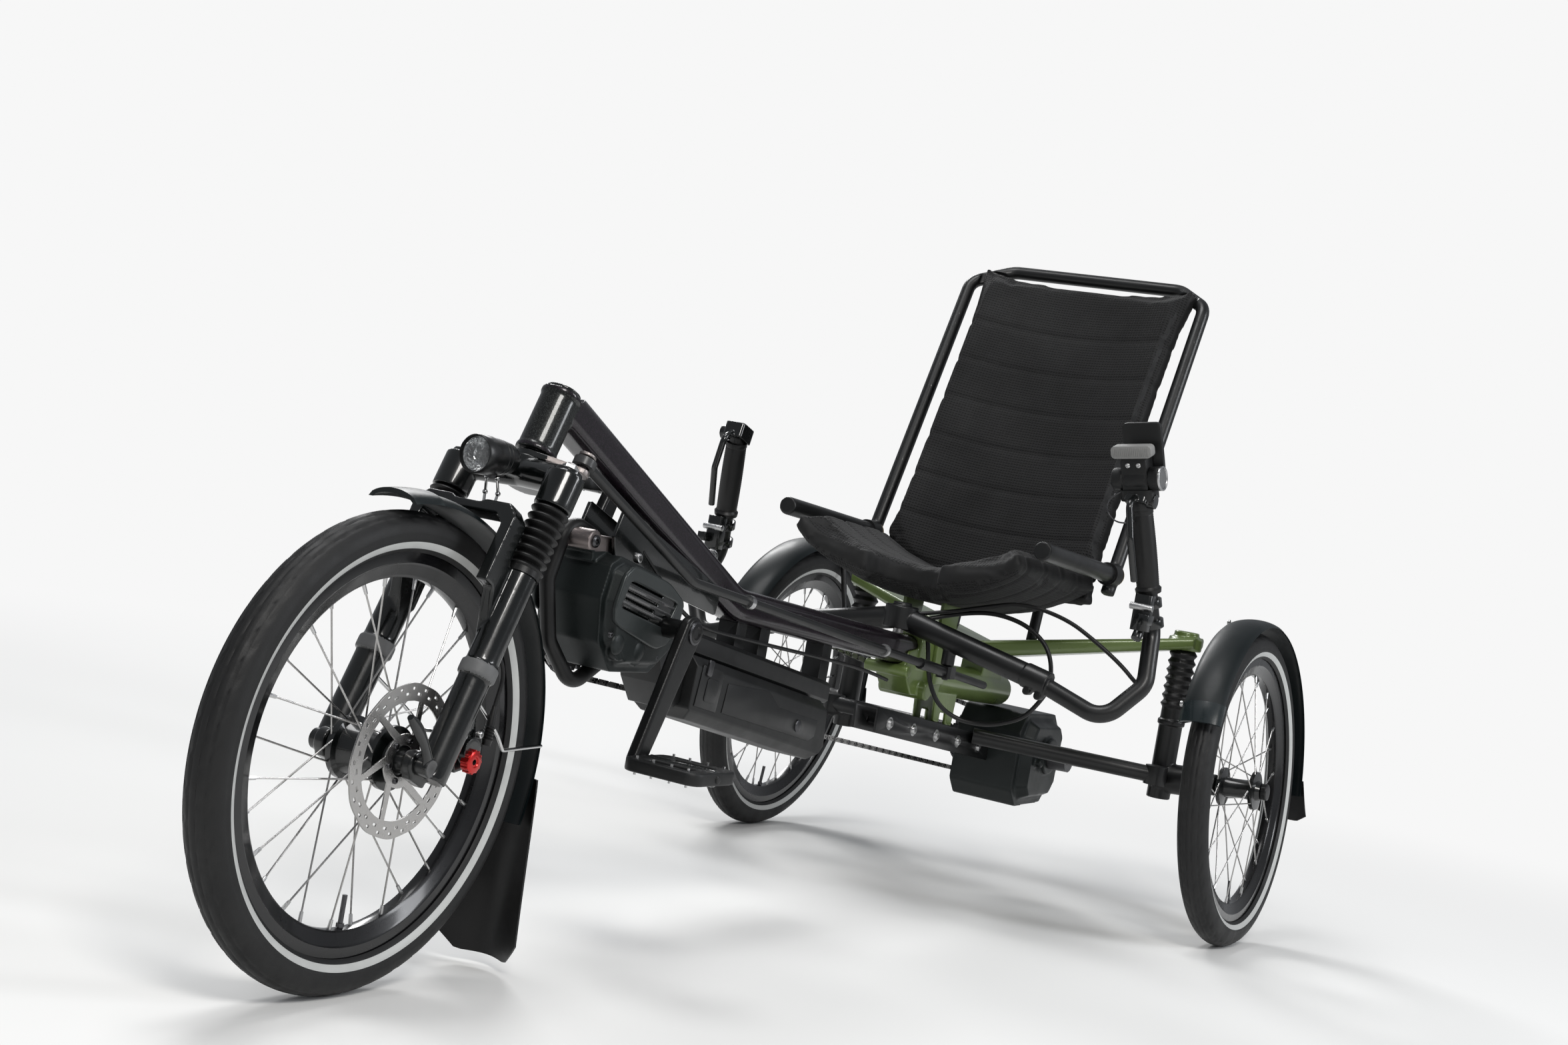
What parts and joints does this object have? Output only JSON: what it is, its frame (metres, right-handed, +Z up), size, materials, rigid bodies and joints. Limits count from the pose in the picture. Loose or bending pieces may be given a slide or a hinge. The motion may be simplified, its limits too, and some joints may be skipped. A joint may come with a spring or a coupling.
{
  "type": "recumbent trike",
  "caption": "Recumbent delta trike: one steered, sprung front wheel, two cambered rear wheels on a cross beam, mid motor, under-seat bar and reclined mesh seat.",
  "frame": {"origin": "on the ground under the middle of the whole trike's length, width and height box", "axes": "+Y to the rear, +X to the rider's left, +Z up; the rider faces -Y"},
  "size_m": [0.9328, 2.1885, 1.0455],
  "materials": {
    "frame_green": "satin powder coat",
    "frame_black": "satin powder coat",
    "tyre": "treaded rubber",
    "black_plastic": "moulded",
    "black_rubber": "ribbed",
    "rim_black": "black anodised",
    "silver": "machined",
    "steel": "bare",
    "mesh_fabric": "open weave"
  },
  "bodies": {
    "frame": {"boom": "frame_black", "motor": "frame_black", "motor_bracket": "frame_black", "motor_conduit": "black_rubber", "battery": "black_plastic", "battery_rail": "black_plastic", "rear_frame": "frame_green", "cross_beam": "frame_green", "drive_channel": "frame_black", "drive_housing": "frame_black", "cassette": "steel", "chain": "steel", "struts": "frame_black", "lower_arms": "frame_black", "drive_shafts": "steel", "rear_fenders": "black_plastic", "seat_base": "mesh_fabric", "seat_back": "mesh_fabric", "seat_rails": "frame_black", "seat_mounts": "frame_green", "bar_pivot": "steel"},
    "fork": {"fork_crown": "frame_black", "fork_lowers": "frame_black", "fork_bellows": "black_rubber", "front_axle": "steel", "steering_arm": "silver", "front_fender": "black_plastic", "front_mud_flap": "black_rubber", "front_caliper": "frame_black", "headlamp": "black_plastic"},
    "front_wheel": {"front_tyre": "tyre", "front_wheel": "rim_black", "front_brake_disc": "steel"},
    "rear_wheel_left": {"rear_tyre_left": "tyre", "rear_wheel_left": "rim_black"},
    "rear_wheel_right": {"rear_tyre_right": "tyre", "rear_wheel_right": "rim_black"},
    "crankset": {"cranks": "frame_black", "chainring": "steel"},
    "pedal_left": {"pedal_left": "black_plastic"},
    "pedal_right": {"pedal_right": "black_plastic"},
    "handlebar": {"handlebar": "frame_black", "bar_grips": "black_rubber", "brake_levers": "frame_black", "bar_controls": "black_plastic"},
    "steering_rod": {"steering_rod": "silver"}
  },
  "joints": [
    {"name": "bar_steer", "type": "hinge", "parent": "frame", "child": "handlebar", "pos_m": [0, 0.3455, 0.434], "axis": [0, 0, 1], "range_deg": [-18, 18]},
    {"name": "fork_steer", "type": "hinge", "parent": "frame", "child": "fork", "pos_m": [0, -0.63541, 0.61187], "axis": [0, 0.4147, 0.91], "range_deg": [-27.5, 27.5]},
    {"name": "rod_pivot", "type": "hinge", "parent": "handlebar", "child": "steering_rod", "pos_m": [0.088, 0.3455, 0.367], "axis": [-0.0366, 0, 0.9993], "range_deg": [-18.5, 18.5]},
    {"name": "front_spin", "type": "hinge", "parent": "fork", "child": "front_wheel", "pos_m": [0, -0.8445, 0.25], "axis": [1, 0, 0], "continuous": true},
    {"name": "rear_spin_left", "type": "hinge", "parent": "frame", "child": "rear_wheel_left", "pos_m": [0.4185, 0.8105, 0.2493], "axis": [0.9969, 0, 0.0785], "continuous": true},
    {"name": "rear_spin_right", "type": "hinge", "parent": "frame", "child": "rear_wheel_right", "pos_m": [-0.4185, 0.8105, 0.2493], "axis": [0.9969, 0, -0.0785], "continuous": true},
    {"name": "crank_spin", "type": "hinge", "parent": "frame", "child": "crankset", "pos_m": [0, -0.4125, 0.404], "axis": [1, 0, 0], "continuous": true},
    {"name": "pedal_left_spin", "type": "hinge", "parent": "crankset", "child": "pedal_left", "pos_m": [0.151, -0.48223, 0.25446], "axis": [1, 0, 0], "continuous": true},
    {"name": "pedal_right_spin", "type": "hinge", "parent": "crankset", "child": "pedal_right", "pos_m": [-0.151, -0.34277, 0.55354], "axis": [1, 0, 0], "continuous": true}
  ],
  "couplings": [
    {"joint": "fork_steer", "follows": "bar_steer", "ratio": 1.501},
    {"joint": "rod_pivot", "follows": "bar_steer", "ratio": -1.0183}
  ]
}
